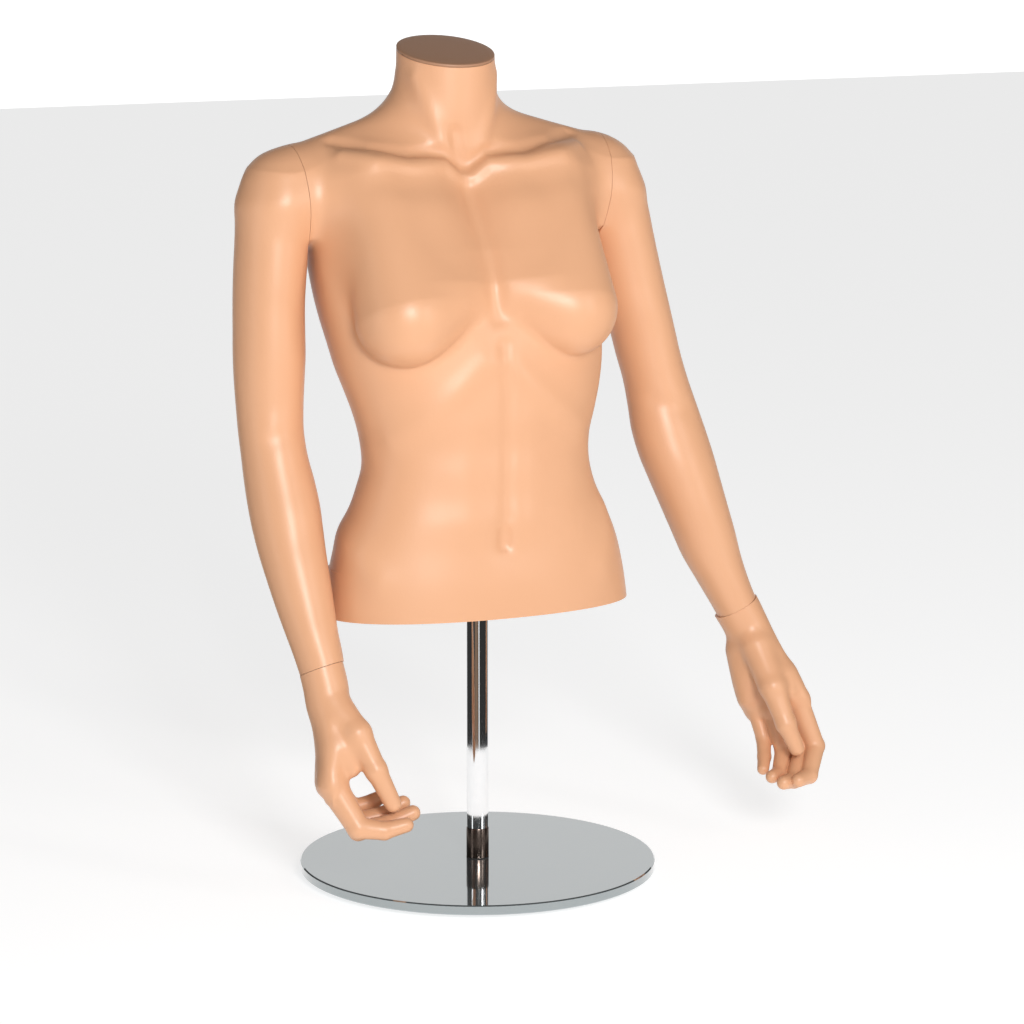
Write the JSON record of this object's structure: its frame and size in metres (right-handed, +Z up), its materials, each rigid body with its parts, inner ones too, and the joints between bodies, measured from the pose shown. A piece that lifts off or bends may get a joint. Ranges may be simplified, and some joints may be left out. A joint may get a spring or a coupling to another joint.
{
  "type": "headless torso mannequin",
  "caption": "Headless half-torso display mannequin with detachable arms and hands, on a chrome pole and a round mirror glass base.",
  "frame": {"origin": "centre of the base's underside, on the floor, on the pole's axis", "axes": "+Z up along the pole; the figure faces -Y; its right side is at -X"},
  "size_m": [0.6081, 0.36, 0.8418],
  "materials": {
    "skin_paint": "satin skin-tone paint on moulded plastic",
    "cap_paint": "satin brown paint",
    "mirror_glass": "polished grey mirror glass with a dark green edge",
    "black_rubber": "matt",
    "dark_bronze": "polished dark bronze plate",
    "chrome_tube": "bright chrome",
    "black_plastic": "moulded",
    "board": "raw fibreboard",
    "zinc_steel": "zinc plated"
  },
  "bodies": {
    "base": {"glass_disc": "mirror_glass", "rubber_feet": "black_rubber", "centre_pad": "black_rubber", "base_bolt": "zinc_steel", "lower_gasket": "black_rubber", "upper_gasket": "black_rubber", "base_ferrule": "dark_bronze", "pole_tube": "chrome_tube", "pole_plug": "black_plastic"},
    "torso": {"torso_shell": "skin_paint", "neck_cap": "cap_paint", "hip_board": "board", "pole_socket": "zinc_steel", "socket_screws": "zinc_steel", "clamp_nut": "zinc_steel", "right_shoulder_board": "board", "right_shoulder_plate": "zinc_steel", "right_shoulder_screws": "zinc_steel", "left_shoulder_board": "board", "left_shoulder_plate": "zinc_steel", "left_shoulder_screws": "zinc_steel"},
    "clamp": {"clamp_screw": "zinc_steel"},
    "right_arm": {"right_arm_shell": "skin_paint", "right_arm_board": "board", "right_arm_plate": "zinc_steel", "right_arm_plate_screws": "zinc_steel", "right_arm_stud": "zinc_steel", "right_wrist_board": "board", "right_wrist_sleeve": "zinc_steel"},
    "right_hand": {"right_hand": "skin_paint", "right_hand_plate": "zinc_steel", "right_wrist_pin": "zinc_steel"},
    "left_arm": {"left_arm_shell": "skin_paint", "left_arm_board": "board", "left_arm_plate": "zinc_steel", "left_arm_plate_screws": "zinc_steel", "left_arm_stud": "zinc_steel", "left_wrist_board": "board", "left_wrist_sleeve": "zinc_steel"},
    "left_hand": {"left_hand": "skin_paint", "left_hand_plate": "zinc_steel", "left_wrist_pin": "zinc_steel"}
  },
  "joints": [
    {"name": "torso_swivel", "type": "hinge", "parent": "base", "child": "torso", "pos_m": [0, 0, 0.36], "axis": [0, 0, 1], "continuous": true},
    {"name": "clamp_turn", "type": "hinge", "parent": "torso", "child": "clamp", "pos_m": [0, 0.02, 0.299], "axis": [0, 1, 0], "range_deg": [0, 360]},
    {"name": "right_shoulder", "type": "hinge", "parent": "torso", "child": "right_arm", "pos_m": [-0.171, 0.058, 0.694], "axis": [-0.9962, 0, -0.0872], "range_deg": [-35, 90]},
    {"name": "left_shoulder", "type": "hinge", "parent": "torso", "child": "left_arm", "pos_m": [0.155, 0.058, 0.694], "axis": [-0.9962, 0, 0.0872], "range_deg": [-35, 90]},
    {"name": "right_wrist", "type": "hinge", "parent": "right_arm", "child": "right_hand", "pos_m": [-0.1842, -0.038, 0.2355], "axis": [0.1951, -0.3606, -0.9121], "range_deg": [-60, 60]},
    {"name": "left_wrist", "type": "hinge", "parent": "left_arm", "child": "left_hand", "pos_m": [0.295, 0.004, 0.249], "axis": [0.4423, -0.1474, -0.8847], "range_deg": [-60, 60]}
  ]
}
